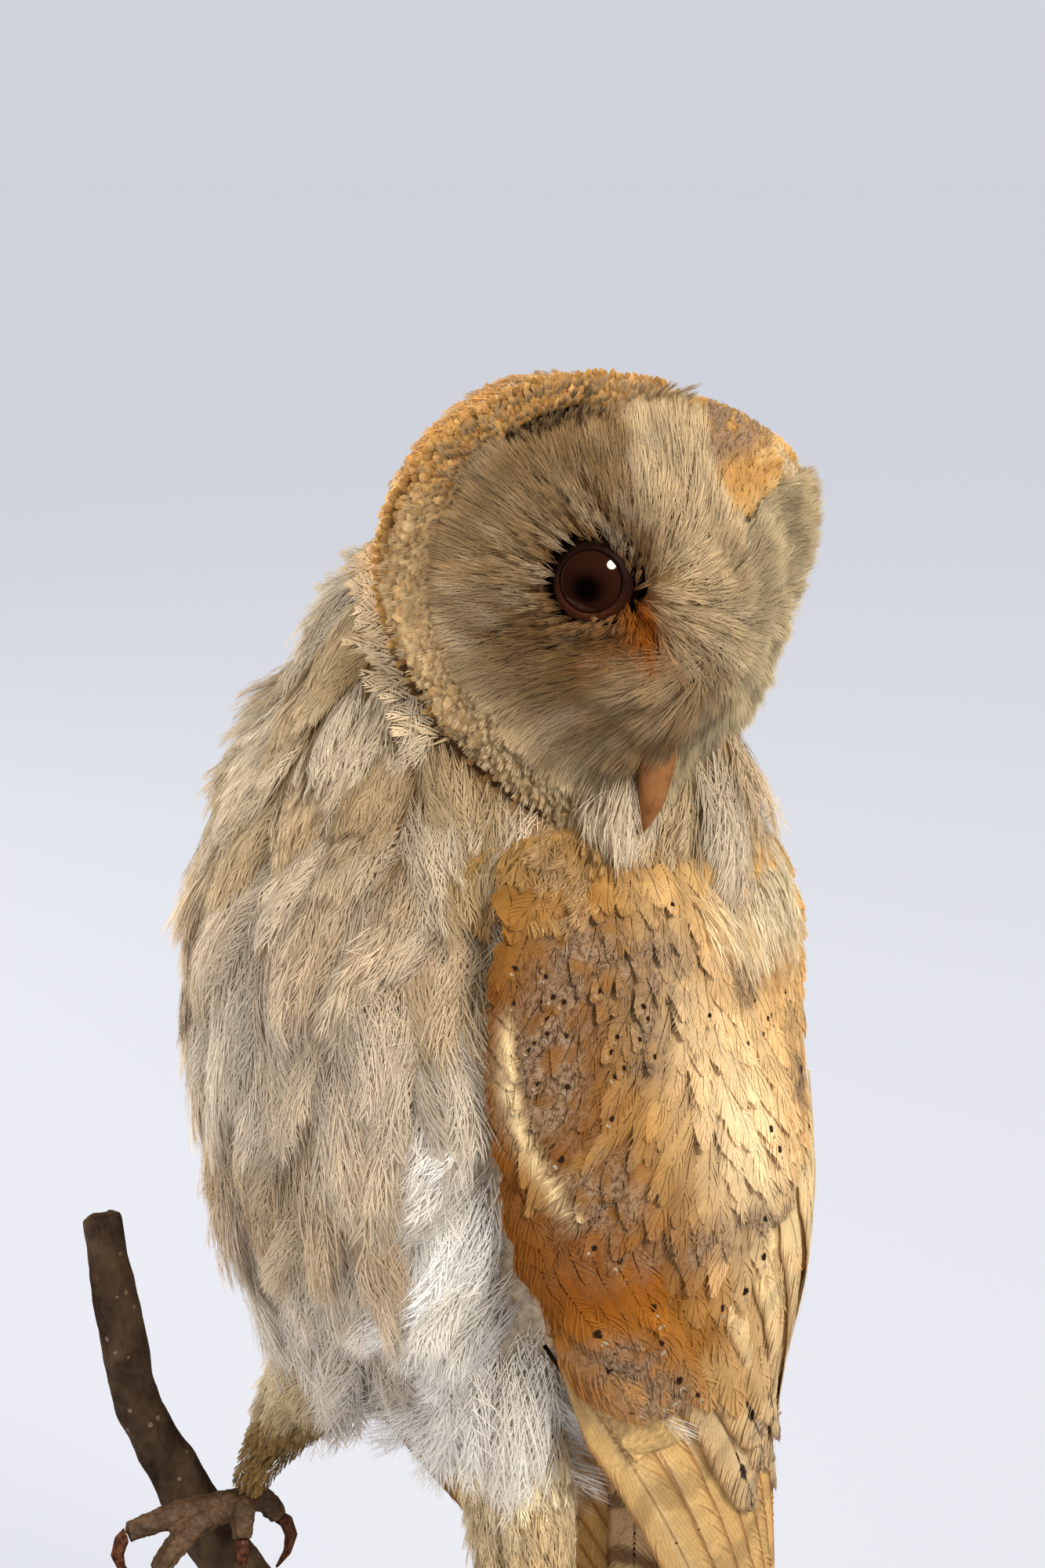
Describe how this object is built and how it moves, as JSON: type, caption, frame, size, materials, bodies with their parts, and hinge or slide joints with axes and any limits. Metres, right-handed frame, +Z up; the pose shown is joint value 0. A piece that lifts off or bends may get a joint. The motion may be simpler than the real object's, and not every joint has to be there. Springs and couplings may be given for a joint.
{
  "type": "mounted barn owl",
  "caption": "Life-size mounted barn owl perched on a bare branch, head turned to its left, wings folded, on a round turned wooden base.",
  "frame": {"origin": "centre of the wooden base's underside", "axes": "+Z up, the owl's body faces -Y, the owl's left side is +X"},
  "size_m": [0.164, 0.168, 0.3778],
  "materials": {
    "feather_white": "soft, silky body feathers",
    "feather_gold": "golden buff feathers with grey frosting",
    "feather_face": "fine hair-like facial disc feathers",
    "feather_leg": "short leg feathers",
    "toe_skin": "dry scaly skin",
    "claw_horn": "dark reddish brown horn",
    "bill_horn": "pinkish tan horn",
    "eye_glass": "polished dark brown glass",
    "bark": "rough grey-brown bark",
    "base_wood": "turned wood, dull wax finish"
  },
  "bodies": {
    "root": {"stand_base": "base_wood", "branch": "bark", "head": "feather_face", "eye_left": "eye_glass", "eye_right": "eye_glass", "bill_upper": "bill_horn", "bill_lower": "bill_horn", "trunk": "feather_white", "neck": "feather_white", "tail": "feather_gold", "wing_left_arm": "feather_gold", "wing_left_primaries": "feather_gold", "wing_left_secondaries": "feather_gold", "leg_left": "feather_leg", "foot_left": "toe_skin", "claw_left_outer": "claw_horn", "claw_left_middle": "claw_horn", "claw_left_inner": "claw_horn", "claw_left_hind": "claw_horn", "wing_right_arm": "feather_gold", "wing_right_primaries": "feather_gold", "wing_right_secondaries": "feather_gold", "leg_right": "feather_leg", "foot_right": "toe_skin", "claw_right_outer": "claw_horn", "claw_right_middle": "claw_horn", "claw_right_inner": "claw_horn", "claw_right_hind": "claw_horn"}
  },
  "joints": []
}
